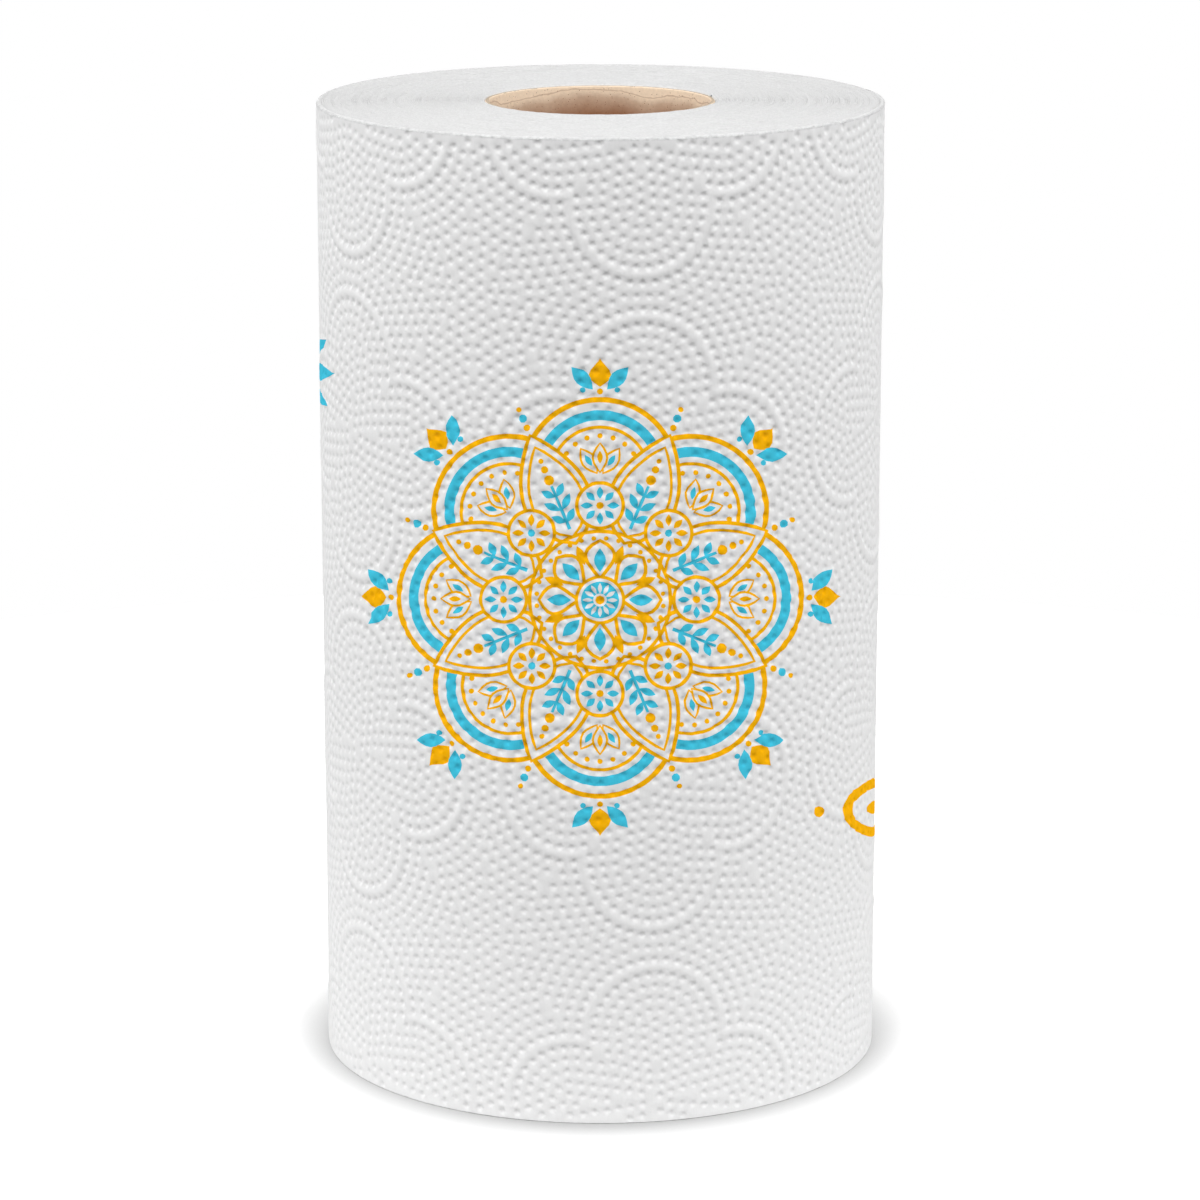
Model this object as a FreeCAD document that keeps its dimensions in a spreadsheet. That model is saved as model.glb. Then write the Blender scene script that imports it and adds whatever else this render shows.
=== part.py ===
import FreeCAD, Part
import math
import os

import Sketcher

# A roll of paper kitchen towel, standing on one end. Millimetres, +Z up along the core.
# The origin is on the core's axis, on the surface that the roll stands on. The front is at -Y.
# Angles about Z are measured from the front, positive towards +X.

PARTS_FOLDER = "parts"

# Driving dimensions: alias, value, what it is.
DIMENSIONS = (
    ("roll_diameter", 127, "across the wound roll, under its last turn"),
    ("paper_width", 220, "width of the paper strip, which is the roll's height"),
    ("turn_thickness", 0.45, "one turn of the embossed two-ply paper as wound"),
    ("tail_angle", 105, "where the strip's loose end lies, degrees from the front"),
    ("core_outside", 51.5, "outside diameter of the board tube"),
    ("core_wall", 0.9, "wall of the board tube"),
    ("core_setback", 0.3, "how far the cut tube ends stay behind the paper's ends"),
    ("rim_land", 2.4, "flat ring on each end next to the rim"),
    ("core_land", 1.4, "flat ring on each end next to the tube"),
    ("rim_bevel", 0.7, "saw-cut rim, worn back at each end"),
    ("turn_relief", 0.35, "depth of the valleys between the turns on each end"),
    ("crest_drop", 0.04, "how far the crests of the turns lie under the flat rings"),
    ("seam_width", 0.8, "gap between the edges of the tube's inner board strip"),
    ("seam_depth", 0.3, "thickness of that inner strip"),
    ("seam_lead", 118, "height that the strip climbs in one turn about the axis"),
)

# Turns drawn on each end. Each stands for about seven of the real ones.
DRAWN_TURNS = 12

# How far the cutting profiles reach outside the solid that they cut.
OVERCUT = 2.0

doc = FreeCAD.newDocument("PaperTowelRoll")
sheet = doc.addObject("Spreadsheet::Sheet", "Dimensions")
for row, (alias, value, meaning) in enumerate(DIMENSIONS, start=1):
    sheet.set("A%d" % row, meaning)
    sheet.set("B%d" % row, str(value))
    sheet.setAlias("B%d" % row, alias)
doc.recompute()


def size(alias):
    """A dimension's number, for the first guess of a sketch that is then bound to the sheet."""
    return float(sheet.get(alias))


def new_body(label):
    """An empty body whose label names its file."""
    body = doc.addObject("PartDesign::Body", label)
    body.Label = label
    return body


def new_sketch(body, label, role):
    """A sketch on one of the body's own origin planes, found by its role."""
    plane = next(f for f in body.Origin.OriginFeatures if f.Role == role)
    sketch = body.newObject("Sketcher::SketchObject", label)
    sketch.AttachmentSupport = (plane, [""])
    sketch.MapMode = "FlatFace"
    return sketch


def bind(sketch, constraint, expression):
    """Adds a constraint whose value is worked out from the sheet."""
    index = sketch.addConstraint(constraint)
    sketch.setExpression("Constraints[%d]" % index, expression)


def check_cut(feature, before, label):
    """A cut that points away from the solid removes nothing and shows no error."""
    if not feature.Shape.Volume < before - 1e-3:
        raise RuntimeError("%s removed nothing" % label)


def bound_polygon(sketch, corners):
    """Closes a polygon through corners, each given as (x, y, x expression, y expression)."""
    last = len(corners) - 1
    for n, corner in enumerate(corners):
        following = corners[0 if n == last else n + 1]
        start = FreeCAD.Vector(corner[0], corner[1], 0)
        end = FreeCAD.Vector(following[0], following[1], 0)
        sketch.addGeometry(Part.LineSegment(start, end), False)
    for n, corner in enumerate(corners):
        following = 0 if n == last else n + 1
        sketch.addConstraint(Sketcher.Constraint("Coincident", n, 2, following, 1))
        bind(sketch, Sketcher.Constraint("DistanceX", -1, 1, n, 1, corner[0]), corner[2])
        bind(sketch, Sketcher.Constraint("DistanceY", -1, 1, n, 1, corner[1]), corner[3])


def wound_outline(body):
    """The roll seen from above: two half circles that differ by half a turn's thickness.

    They meet smoothly on one side. On the other the last turn ends in a step, the strip's
    loose end, one turn thick.
    """
    radius = size("roll_diameter") / 2
    step = size("turn_thickness")
    bore = size("core_outside") / 2
    up = FreeCAD.Vector(0, 0, 1)
    quarter = math.pi / 2
    inner_side = Part.Circle(FreeCAD.Vector(0, 0, 0), up, radius)
    outer_side = Part.Circle(FreeCAD.Vector(0, -step / 2, 0), up, radius + step / 2)
    sketch = new_sketch(body, "wound_outline", "XY_Plane")
    inner = sketch.addGeometry(Part.ArcOfCircle(inner_side, -quarter, quarter), False)
    outer = sketch.addGeometry(Part.ArcOfCircle(outer_side, quarter, 3 * quarter), False)
    tail = sketch.addGeometry(
        Part.LineSegment(FreeCAD.Vector(0, -radius - step, 0), FreeCAD.Vector(0, -radius, 0)), False
    )
    hole = sketch.addGeometry(Part.Circle(FreeCAD.Vector(0, 0, 0), up, bore), False)
    sketch.addConstraint(
        [
            Sketcher.Constraint("Coincident", inner, 3, -1, 1),
            Sketcher.Constraint("Coincident", inner, 2, outer, 1),
            Sketcher.Constraint("Coincident", outer, 2, tail, 1),
            Sketcher.Constraint("Coincident", tail, 2, inner, 1),
            Sketcher.Constraint("PointOnObject", inner, 1, -2),
            Sketcher.Constraint("PointOnObject", inner, 2, -2),
            Sketcher.Constraint("PointOnObject", outer, 3, -2),
            Sketcher.Constraint("PointOnObject", outer, 2, -2),
            Sketcher.Constraint("Coincident", hole, 3, -1, 1),
        ]
    )
    bind(sketch, Sketcher.Constraint("Radius", inner, radius), "Dimensions.roll_diameter / 2")
    bind(sketch, Sketcher.Constraint("Radius", hole, bore), "Dimensions.core_outside / 2")
    bind(
        sketch,
        Sketcher.Constraint("DistanceY", tail, 1, tail, 2, step),
        "Dimensions.turn_thickness",
    )
    return sketch


def turn_profile(body):
    """Half section of what is cut from the upper end: the rim's bevel and the turns' valleys.

    Its lower side runs up the bevel, along a flat ring, down and up once for each drawn turn,
    and along the flat ring next to the tube. It is closed above the end.
    """
    top = size("paper_width")
    rim = size("roll_diameter") / 2
    bevel = size("rim_bevel")
    first = size("core_outside") / 2 + size("core_land")
    last = rim - size("rim_land")
    pitch = (last - first) / DRAWN_TURNS
    valley = top - size("turn_relief")
    crest = top - size("crest_drop")
    say_top = "Dimensions.paper_width"
    say_rim = "Dimensions.roll_diameter / 2"
    say_first = "(Dimensions.core_outside / 2 + Dimensions.core_land)"
    say_last = "(Dimensions.roll_diameter / 2 - Dimensions.rim_land)"
    say_pitch = "(%s - %s) / %d" % (say_last, say_first, DRAWN_TURNS)
    say_valley = "Dimensions.paper_width - Dimensions.turn_relief"
    say_crest = "Dimensions.paper_width - Dimensions.crest_drop"
    above = top + OVERCUT
    say_above = "%s + %g" % (say_top, OVERCUT)
    corners = [(first, top, say_first, say_top)]
    for turn in range(DRAWN_TURNS):
        middle = first + pitch * (turn + 0.5)
        say_middle = "%s + %s * %g" % (say_first, say_pitch, turn + 0.5)
        corners.append((middle, valley, say_middle, say_valley))
        if turn < DRAWN_TURNS - 1:
            between = first + pitch * (turn + 1)
            say_between = "%s + %s * %d" % (say_first, say_pitch, turn + 1)
            corners.append((between, crest, say_between, say_crest))
    corners.append((last, top, say_last, say_top))
    corners.append((last, top + OVERCUT / 4, say_last, "%s + %g" % (say_top, OVERCUT / 4)))
    corners.append(
        (
            rim - bevel - OVERCUT / 4,
            top + OVERCUT / 4,
            "%s - Dimensions.rim_bevel - %g" % (say_rim, OVERCUT / 4),
            "%s + %g" % (say_top, OVERCUT / 4),
        )
    )
    corners.append(
        (
            rim + OVERCUT,
            top - bevel - OVERCUT,
            "%s + %g" % (say_rim, OVERCUT),
            "%s - Dimensions.rim_bevel - %g" % (say_top, OVERCUT),
        )
    )
    corners.append((rim + OVERCUT, above, "%s + %g" % (say_rim, OVERCUT), say_above))
    corners.append((first, above, say_first, say_above))
    sketch = new_sketch(body, "turn_profile", "XZ_Plane")
    bound_polygon(sketch, corners)
    return sketch


def make_paper_roll():
    """The paper strip, wound up: one solid with its turns on both ends and its loose end outside."""
    body = new_body("paper_roll")
    outline = wound_outline(body)
    roll = body.newObject("PartDesign::Pad", "wound_paper")
    roll.Profile = outline
    roll.setExpression("Length", "Dimensions.paper_width")
    outline.Visibility = False
    doc.recompute()
    plain = roll.Shape.Volume

    profile = turn_profile(body)
    top_turns = body.newObject("PartDesign::Groove", "upper_end_turns")
    top_turns.Profile = profile
    top_turns.ReferenceAxis = (profile, ["V_Axis"])
    top_turns.Angle = 360
    doc.recompute()
    check_cut(top_turns, plain, "upper_end_turns")
    one_end = top_turns.Shape.Volume

    xy_plane = next(f for f in body.Origin.OriginFeatures if f.Role == "XY_Plane")
    middle = body.newObject("PartDesign::Plane", "middle_of_roll")
    middle.AttachmentSupport = (xy_plane, [""])
    middle.MapMode = "FlatFace"
    middle.setExpression("AttachmentOffset.Base.z", "Dimensions.paper_width / 2")
    both_ends = body.newObject("PartDesign::Mirrored", "both_end_turns")
    both_ends.Originals = [top_turns]
    both_ends.MirrorPlane = (middle, [""])
    body.Tip = both_ends
    doc.recompute()
    check_cut(both_ends, one_end, "both_end_turns")

    body.setExpression("Placement.Rotation.Angle", "Dimensions.tail_angle")
    return body


def make_core_tube():
    """The board tube: strips wound on a slant and glued, with the inner strip's seam open."""
    outside = size("core_outside") / 2
    inside = outside - size("core_wall")
    centre = FreeCAD.Vector(0, 0, 0)
    up = FreeCAD.Vector(0, 0, 1)
    body = new_body("core_tube")
    ring = new_sketch(body, "tube_section", "XY_Plane")
    ring.setExpression("AttachmentOffset.Base.z", "Dimensions.core_setback")
    for radius, say in (
        (outside, "Dimensions.core_outside / 2"),
        (inside, "Dimensions.core_outside / 2 - Dimensions.core_wall"),
    ):
        circle = ring.addGeometry(Part.Circle(centre, up, radius), False)
        ring.addConstraint(Sketcher.Constraint("Coincident", circle, 3, -1, 1))
        bind(ring, Sketcher.Constraint("Radius", circle, radius), say)
    tube = body.newObject("PartDesign::Pad", "board_tube")
    tube.Profile = ring
    tube.setExpression("Length", "Dimensions.paper_width - 2 * Dimensions.core_setback")
    doc.recompute()
    plain = tube.Shape.Volume

    # The seam is a slot on a helix, from below the lower end to above the upper one.
    below = -size("seam_lead") / 4
    say_below = "-Dimensions.seam_lead / 4"
    say_inside = "Dimensions.core_outside / 2 - Dimensions.core_wall"
    width = size("seam_width")
    near = inside - OVERCUT / 4
    far = inside + size("seam_depth")
    say_near = "%s - %g" % (say_inside, OVERCUT / 4)
    say_far = "%s + Dimensions.seam_depth" % say_inside
    say_over = "%s + Dimensions.seam_width" % say_below
    slot = new_sketch(body, "seam_slot", "XZ_Plane")
    bound_polygon(
        slot,
        [
            (near, below, say_near, say_below),
            (far, below, say_far, say_below),
            (far, below + width, say_far, say_over),
            (near, below + width, say_near, say_over),
        ],
    )
    seam = body.newObject("PartDesign::SubtractiveHelix", "inner_strip_seam")
    seam.Profile = slot
    seam.ReferenceAxis = (slot, ["V_Axis"])
    seam.Mode = "pitch-height-angle"
    seam.setExpression("Pitch", "Dimensions.seam_lead")
    seam.setExpression("Height", "Dimensions.paper_width + Dimensions.seam_lead / 2")
    seam.Angle = 0
    doc.recompute()
    check_cut(seam, plain, "inner_strip_seam")
    return body


def save(bodies):
    """Checks every object and every piece, then writes one file for each piece."""
    doc.recompute()
    for item in doc.Objects:
        if "Invalid" in item.State or "Error" in item.State:
            raise RuntimeError("%s did not build: %s" % (item.Label, item.State))
    for body in bodies:
        shape = body.Shape
        if shape.isNull() or not shape.isValid() or len(shape.Solids) != 1:
            raise RuntimeError("%s is not one valid solid" % body.Label)
    os.makedirs(PARTS_FOLDER, exist_ok=True)
    for body in bodies:
        body.Shape.exportStep(os.path.join(PARTS_FOLDER, body.Label + ".step"))
        box = body.Shape.BoundBox
        print(
            "%s: %.1f mm3, %.2f x %.2f x %.2f mm"
            % (body.Label, body.Shape.Volume, box.XLength, box.YLength, box.ZLength)
        )


save([make_paper_roll(), make_core_tube()])
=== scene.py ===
"""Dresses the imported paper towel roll: embossed, printed paper, wound ends, board tube, plain studio."""

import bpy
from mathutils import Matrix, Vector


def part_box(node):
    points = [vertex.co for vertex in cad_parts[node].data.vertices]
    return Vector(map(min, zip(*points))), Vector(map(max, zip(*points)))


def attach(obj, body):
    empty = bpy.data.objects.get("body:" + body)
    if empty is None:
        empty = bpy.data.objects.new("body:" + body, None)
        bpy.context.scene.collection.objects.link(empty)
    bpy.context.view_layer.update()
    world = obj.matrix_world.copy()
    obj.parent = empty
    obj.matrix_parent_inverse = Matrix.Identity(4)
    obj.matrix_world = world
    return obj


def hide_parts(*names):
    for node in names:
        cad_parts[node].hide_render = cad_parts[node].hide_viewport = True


bl_info = {
    "name": "Paper towel roll",
    "version": (1, 0, 0),
    "blender": (4, 5, 0),
    "location": "View3D > Sidebar > Paper roll",
    "description": "Embossed and printed sheets, wound ends, board tube and studio of a paper towel roll",
    "category": "Object",
}

import math

import bpy
import numpy as np
from bpy.props import FloatProperty, FloatVectorProperty, IntProperty, PointerProperty
from mathutils import Vector
from mathutils.geometry import delaunay_2d_cdt
from mathutils.kdtree import KDTree

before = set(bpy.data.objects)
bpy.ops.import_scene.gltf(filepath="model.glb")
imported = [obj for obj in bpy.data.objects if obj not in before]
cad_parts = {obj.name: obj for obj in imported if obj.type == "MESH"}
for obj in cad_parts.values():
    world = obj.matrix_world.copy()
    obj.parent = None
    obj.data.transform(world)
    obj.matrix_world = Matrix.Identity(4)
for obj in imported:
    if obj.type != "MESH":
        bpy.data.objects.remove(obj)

MM = 0.001
WHITE = (1.0, 1.0, 1.0, 1.0)
TURN = 2 * math.pi
BODY = "root"
PAPER_NODE = "paper_roll"
TUBE_NODE = "core_tube"
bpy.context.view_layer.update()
PAPER_LOW, PAPER_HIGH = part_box(PAPER_NODE)
TUBE_LOW, TUBE_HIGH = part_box(TUBE_NODE)


def linear(hexed):
    """An sRGB hex colour as linear red, green, blue and alpha."""
    channels = [int(hexed[i:i + 2], 16) / 255 for i in (1, 3, 5)]
    return tuple(c / 12.92 if c <= 0.04045 else ((c + 0.055) / 1.055) ** 2.4 for c in channels) + (1.0,)


def length(name, description, millimetres):
    return FloatProperty(name=name, description=description, default=millimetres * MM, unit="LENGTH")


def turning(name, description, degrees):
    return FloatProperty(name=name, description=description, default=math.radians(degrees), subtype="ANGLE")


def colour(name, description, hexed):
    return FloatVectorProperty(
        name=name, description=description, default=linear(hexed), subtype="COLOR", size=4, min=0, max=1
    )


class RollSizes(bpy.types.PropertyGroup):
    """How the paper is wound."""

    radius: length("Roll radius", "Outside of the last full turn", -PAPER_LOW[0] / MM)
    height: length("Paper width", "Width of the paper, which is the roll's height", PAPER_HIGH[2] / MM)
    ply: length("Turn thickness", "What one turn adds to the radius", 0.45)
    tail: turning("Tail angle", "Where the loose end lies, round from the front", 105)
    sheet: length("Sheet length", "From the loose end to the first perforation", 223.5)
    rim: length("Rim rounding", "Rounding of the cut edge of the outermost turns at the upper end", 0.7)
    foot: length("Foot rounding", "The same at the lower end, pressed square by the roll's weight", 0.16)
    inset: length("Inset", "How far the paper's face lies inside the wound radius", 0.12)


class TubeSizes(bpy.types.PropertyGroup):
    """The board tube that the paper is wound on."""

    radius: length("Tube radius", "Outside of the board", TUBE_HIGH[0] / MM)
    wall: length("Wall", "Thickness of the board", 0.9)
    lead: length("Winding lead", "Height that the winding climbs in one turn", 118)
    seam: length("Seam width", "Gap between the edges of the inner ply", 0.8)
    seam_depth: length("Seam depth", "Depth of that gap", 0.3)


class EmbossSizes(bpy.types.PropertyGroup):
    """The pressed pattern: four-petalled flowers of dots with smooth raised lines between them."""

    across: length("Repeat across", "From flower to flower round the roll", 75.25)
    down: length("Repeat down", "From flower to flower down the roll", 72.67)
    start_across: length("First flower across", "From the front of the roll to the flower beside it", 8.51)
    start_down: length("First flower down", "From the upper rim to the highest flower", -2.24)
    lean: turning("Lean", "How far the columns of flowers lean from upright", 1.1)
    row: length("Row gap", "From one row of dots to the next", 2.769)
    dot: length("Dot gap", "From dot to dot along a row", 2.699)
    line: length("Smooth line", "Half of the plain width between two patches of dots", 1.7145)
    dent: length("Dent radius", "Radius of one pressed dot", 1.25)
    depth: length("Dent depth", "Depth of one pressed dot", 0.41)
    rise: length("Line rise", "How far the smooth lines stand up", 0.14)


class PrintLooks(bpy.types.PropertyGroup):
    """The printed rosette."""

    reach: length("Rosette radius", "From its centre to the tips", 53.2)
    centre: length("Rosette height", "From the roll's foot to its centre", 119.6)
    wrap: FloatProperty(
        name="Wrap", description="Share of the print's width that follows the paper, not the view",
        default=0.12,
    )
    orange: colour("Orange ink", "Warm ink of the outlines", "#F4B100")
    blue: colour("Blue ink", "Cool ink of the bands and leaves", "#41C0DC")


class PaperLooks(bpy.types.PropertyGroup):
    """Paper and board."""

    tissue: colour("Tissue", "White of the paper", "#E6E6E6")
    # painted shade: the sawn ends' white is set greyer than the tissue's, so the upper end, lit from above,
    # stays near the sides' brightness
    edge: colour("Cut edge", "White of the sawn ends", "#D0D0D0")
    # the board's brown is set dark, to carry the painted shade deep inside the tube
    board: colour("Board", "Brown of the tube, away from its ends", "#936446")
    torn: colour("Torn board", "Pale brown of the tube's frayed ends", "#F4DEC4")
    turns: IntProperty(name="Turns", description="Turns shown on each end", default=82, min=10)


class StudioSizes(bpy.types.PropertyGroup):
    """Camera and lamps."""

    distance: length("Camera distance", "From the roll's axis to the camera", 1057.9)
    height: length("Camera height", "From the floor to the camera", 358.3)
    pitch: turning("Camera pitch", "How far the camera looks down", 13.5)
    focal: FloatProperty(name="Focal length", description="Millimetres on a 36 mm sensor", default=141.87)


# Mesh helpers


def add_node(tree, kind, values=None, links=None, **settings):
    """Adds a node: settings are its own properties, values its sockets' numbers, links what feeds them."""
    made = tree.nodes.new(kind)
    for name, value in settings.items():
        setattr(made, name, value)
    for name, value in (values or {}).items():
        made.inputs[name].default_value = value
    for name, source in (links or {}).items():
        tree.links.new(source, made.inputs[name])
    return made


def new_piece(name, points, faces, places, materials, picks=None):
    """A mesh object from millimetre points; places are its points on the flat, from 0 to 1, for baking."""
    mesh = bpy.data.meshes.new(name)
    mesh.from_pydata((np.asarray(points) * MM).tolist(), [], faces)
    for material in materials:
        mesh.materials.append(material)
    if picks is not None:
        mesh.polygons.foreach_set("material_index", picks)
    corners = np.empty(len(mesh.loops), dtype=np.int32)
    mesh.loops.foreach_get("vertex_index", corners)
    layer = mesh.uv_layers.new(name="OFBake")
    layer.data.foreach_set("uv", np.asarray(places, dtype=np.float32)[corners].ravel())
    mesh.validate()
    mesh.shade_smooth()
    piece = bpy.data.objects.new(name, mesh)
    bpy.context.scene.collection.objects.link(piece)
    return piece


# Embossing

# Each petal: how far its centre lies from the flower's, its radius, and where it points
LOBES = (
    (16.256, 15.5575, (0, 1)),
    (16.256, 15.5575, (0, -1)),
    (18.415, 14.986, (1, 0)),
    (18.415, 14.986, (-1, 0)),
)
# A petal's straight sides lean in by the taper, and stop at this ratio of width to distance from the middle
PETAL_TAPER = math.radians(8)
PETAL_SHOULDER = 0.963
# Depth of the dots beside a smooth line and of those that fill a bare spot, over that of the others
PRESSED_HARD = 1.2
PRESSED_LIGHT = 0.9
# How pointed a dent is, the rings of mesh points about its middle as shares of its radius, and points in each
DENT_POINT = 2.0
DENT_RINGS = (0.46, 0.94)
RING_POINTS = 6
# A row of dots inside a petal becomes one dot when its level is under the first share of the row gap
ONE_DOT = 0.35
NO_DOT = -0.3
# Rows of dots outside the petals, how far each reaches round its petal, and its overlap on the next patch
GROUND_ROWS = 14
GROUND_REACH = 0.75 * math.pi
GROUND_OVERLAP = 0.15
# The outer dots keep this share of the row gap from the edge of their repeat; the last dots lie on that edge
EDGE_CLEAR = 0.3
EDGE_DOTS = (-2.5, -1.5, -0.5, 0.5, 1.5, 2.5)
# Bare spots: looked for at this step in millimetres, and filled where this share of the gaps is free
FILL_STEP = 0.45
FILL_ROOM = 0.84
FILL_CLEAR = 0.8
# Easing: rounds, and the share of what is missing that each round pushes a dot off a dot and off a line
EASE_ROUNDS = 14
EASE_DOTS = 0.35
EASE_LINES = 0.6
# Points along the smooth lines' middles: their step and least distance; and that of dots, over the dot gap
LINE_WALK = 1.5
LINE_STEP = 1.2
CROWDED = 0.66


def from_petal(lobe, across, outward):
    """A point of one petal's own axes, on the flower's axes."""
    dx, dy = lobe[2]
    return (across, outward * dy) if dx == 0 else (outward * dx, across)


def petal_path(radius, centre, travel):
    """The point at a distance along one side of a petal's outline, from its crown to the flower's centre."""
    bend = radius * (math.pi / 2 + PETAL_TAPER)
    if travel <= bend:
        angle = travel / radius
        return radius * math.sin(angle), centre + radius * math.cos(angle)
    rest = travel - bend
    return (
        radius * math.cos(PETAL_TAPER) - rest * math.sin(PETAL_TAPER),
        centre - radius * math.sin(PETAL_TAPER) - rest * math.cos(PETAL_TAPER),
    )


def petal_travel(radius, centre):
    side = (centre - radius * math.sin(PETAL_TAPER)) / math.cos(PETAL_TAPER)
    return radius * (math.pi / 2 + PETAL_TAPER) + side


def petal_dots(lobe, sizes):
    """Nested rows of dots inside one petal, with how hard each is pressed."""
    centre, radius, _ = lobe
    dots = []
    level = radius - sizes.line / MM
    press = PRESSED_HARD
    row = sizes.row / MM
    dot = sizes.dot / MM
    while level > NO_DOT * row:
        if level < ONE_DOT * row:
            dots.append((0.0, centre, press))
            break
        odd = round(math.pi * level / dot) % 2 == 1
        travel = 0.0 if odd else 0.5 * dot
        while travel < petal_travel(level, centre):
            across, outward = petal_path(level, centre, travel)
            if outward > 0 and 0 <= across < outward * PETAL_SHOULDER - 0.25 * dot:
                dots.append((across, outward, press))
                if across > 0.001:
                    dots.append((-across, outward, press))
            travel += dot
        level -= row
        press = 1.0
    return [from_petal(lobe, a, b) + (p,) for a, b, p in dots]


def ground_dots(sizes):
    """Rows of dots outside the petals, each row about the nearest petal."""
    half_across = sizes.across / MM / 2
    half_down = sizes.down / MM / 2
    row = sizes.row / MM
    dot = sizes.dot / MM
    line = sizes.line / MM
    dots = []
    for lobe in LOBES:
        centre, radius, _ = lobe
        for number in range(GROUND_ROWS):
            level = radius + line + row * number
            count = int(GROUND_REACH * level / dot)
            for place in range(-count, count + 1):
                angle = (place + 0.5 * (number % 2)) * dot / level
                x, y = from_petal(lobe, level * math.sin(angle), centre + level * math.cos(angle))
                if max(abs(x) - half_across, abs(y) - half_down) > -EDGE_CLEAR * row:
                    continue
                nearest = min(math.hypot(x - far * dx, y - far * dy) - size for far, size, (dx, dy) in LOBES)
                if level - radius <= nearest + GROUND_OVERLAP * row:
                    dots.append((x, y, PRESSED_HARD if number == 0 else 1.0))
    for place in EDGE_DOTS:
        dots += [(place * dot, half_down, 1.0), (half_across, place * dot, 1.0)]
    return dots


def petal_lines():
    """Points along the middle of the smooth lines, which run round each petal."""
    points = []
    for lobe in LOBES:
        centre, radius, _ = lobe
        travel = 0.0
        while travel < petal_travel(radius, centre):
            across, outward = petal_path(radius, centre, travel)
            if outward > 0 and across < outward * PETAL_SHOULDER:
                points += [from_petal(lobe, across, outward), from_petal(lobe, -across, outward)]
            travel += LINE_WALK
    return points


def thinned(points, gap):
    """The points without those that come nearer than the gap to an earlier one."""
    kept = []
    cells = {}
    for point in points:
        i = math.floor(point[0] / gap)
        j = math.floor(point[1] / gap)
        near = [q for di in (-1, 0, 1) for dj in (-1, 0, 1) for q in cells.get((i + di, j + dj), ())]
        if all((q[0] - point[0]) ** 2 + (q[1] - point[1]) ** 2 >= gap * gap for q in near):
            cells.setdefault((i, j), []).append(point)
            kept.append(point)
    return kept


def tree_of(points):
    made = KDTree(max(1, len(points)))
    for number, point in enumerate(points):
        made.insert((point[0], point[1], 0.0), number)
    made.balance()
    return made


def repeats(sizes):
    """Moves from one repeat of the pattern to itself and to the eight about it."""
    across = sizes.across / MM
    down = sizes.down / MM
    return [(i * across, j * down) for i in (-1, 0, 1) for j in (-1, 0, 1)]


def tree_about(points, moves):
    """A search tree of one repeat's points and of their copies in the repeats about it."""
    return tree_of([(point[0] + dx, point[1] + dy) for point in points for dx, dy in moves])


def filled(dots, lines, sizes):
    """The dots of one repeat with the bare spots between patches filled, widest spot first."""
    moves = repeats(sizes)
    half_across, half_down = (0.5 * side for side in moves[-1])
    near_dots = tree_about(dots, moves)
    near_lines = tree_about(lines, moves)
    room = FILL_ROOM * sizes.dot / MM
    clear = FILL_CLEAR * sizes.line / MM
    spots = []
    for x in evenly(-half_across, half_across, FILL_STEP)[:-1]:
        for y in evenly(-half_down, half_down, FILL_STEP)[:-1]:
            far = near_dots.find((x, y, 0.0))[2]
            if far > room and near_lines.find((x, y, 0.0))[2] > clear:
                spots.append((-far, x, y))
    added = []
    for _, x, y in sorted(spots):
        if all((x + dx - a) ** 2 + (y + dy - b) ** 2 > room * room for a, b, _ in added for dx, dy in moves):
            added.append((x, y, PRESSED_LIGHT))
    return dots + added


def eased(dots, lines, sizes):
    """The dots of one repeat with those that stand too close moved apart, and off the smooth lines."""
    gap = sizes.dot / MM
    clear = sizes.line / MM
    moves = repeats(sizes)
    near_lines = tree_about(lines, moves)
    itself = 0.01
    for _ in range(EASE_ROUNDS):
        near_dots = tree_about(dots, moves)
        moved = []
        for x, y, press in dots:
            push = [0.0, 0.0]
            close = [(spot, far, EASE_DOTS, gap) for spot, _, far in near_dots.find_range((x, y, 0.0), gap)]
            spot, _, far = near_lines.find((x, y, 0.0))
            if far < clear:
                close.append((spot, far, EASE_LINES, clear))
            for spot, far, share, room in close:
                if far > itself:
                    push[0] += share * (room - far) * (x - spot[0]) / far
                    push[1] += share * (room - far) * (y - spot[1]) / far
            moved.append((x + push[0], y + push[1], press))
        dots = moved
    return dots


def spread(points, sizes, window):
    """A flower's points repeated over a window of the unrolled paper, in millimetres."""
    left, right, top, foot = window
    lean = math.tan(sizes.lean)
    out = []
    for j in range(-1, 5):
        for i in range(-6, 5):
            for point in points:
                down = sizes.start_down / MM + j * sizes.down / MM + point[1]
                along = sizes.start_across / MM + i * sizes.across / MM + point[0] + lean * down
                if left <= along <= right and top <= down <= foot:
                    out.append((along, down) + tuple(point[2:]))
    return out


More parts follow.
